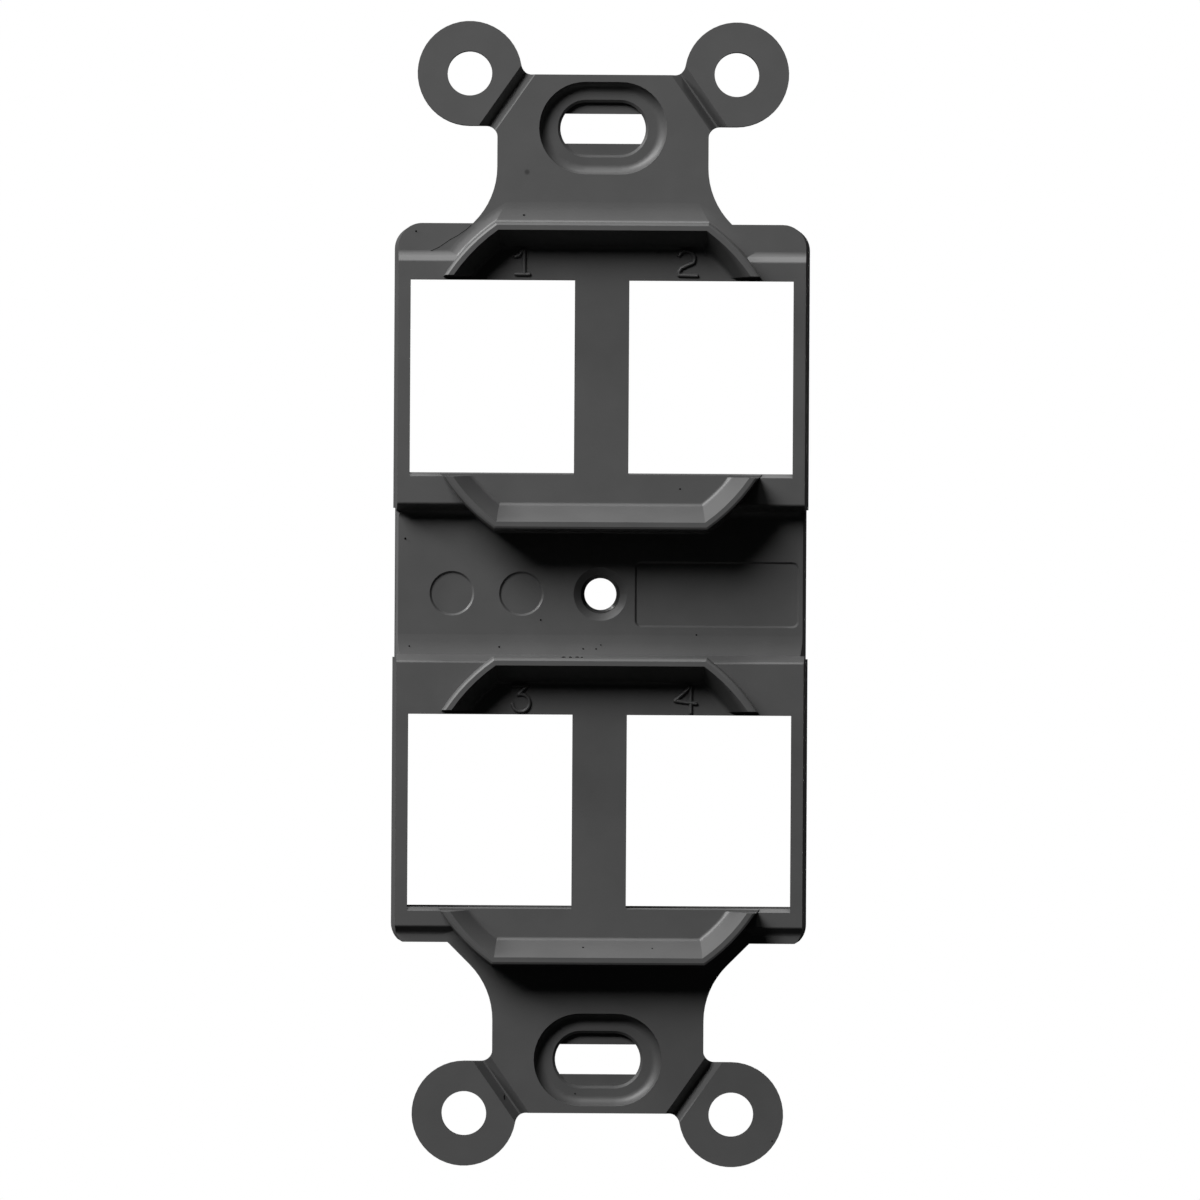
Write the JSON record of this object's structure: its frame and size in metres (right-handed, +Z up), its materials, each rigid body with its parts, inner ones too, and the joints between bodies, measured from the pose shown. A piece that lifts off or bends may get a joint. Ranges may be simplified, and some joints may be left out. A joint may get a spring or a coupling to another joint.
{
  "type": "faceplate adapter frame",
  "caption": "Strap-mounted plastic frame that fits a duplex cover plate and holds snap-in jack modules in its windows, with snap-off ears and captive screw slots.",
  "frame": {"origin": "on the cover screw's axis, in the plane of the strap's flat back", "axes": "-Y is forward, out of the wall, along the cover screw; +Z is up along the strap; +X is right as seen from the front"},
  "size_m": [0.0374, 0.013, 0.1024],
  "materials": {
    "moulded_plastic": "satin moulded thermoplastic, dark grey"
  },
  "bodies": {
    "root": {"adapter_frame": "moulded_plastic"}
  },
  "joints": []
}
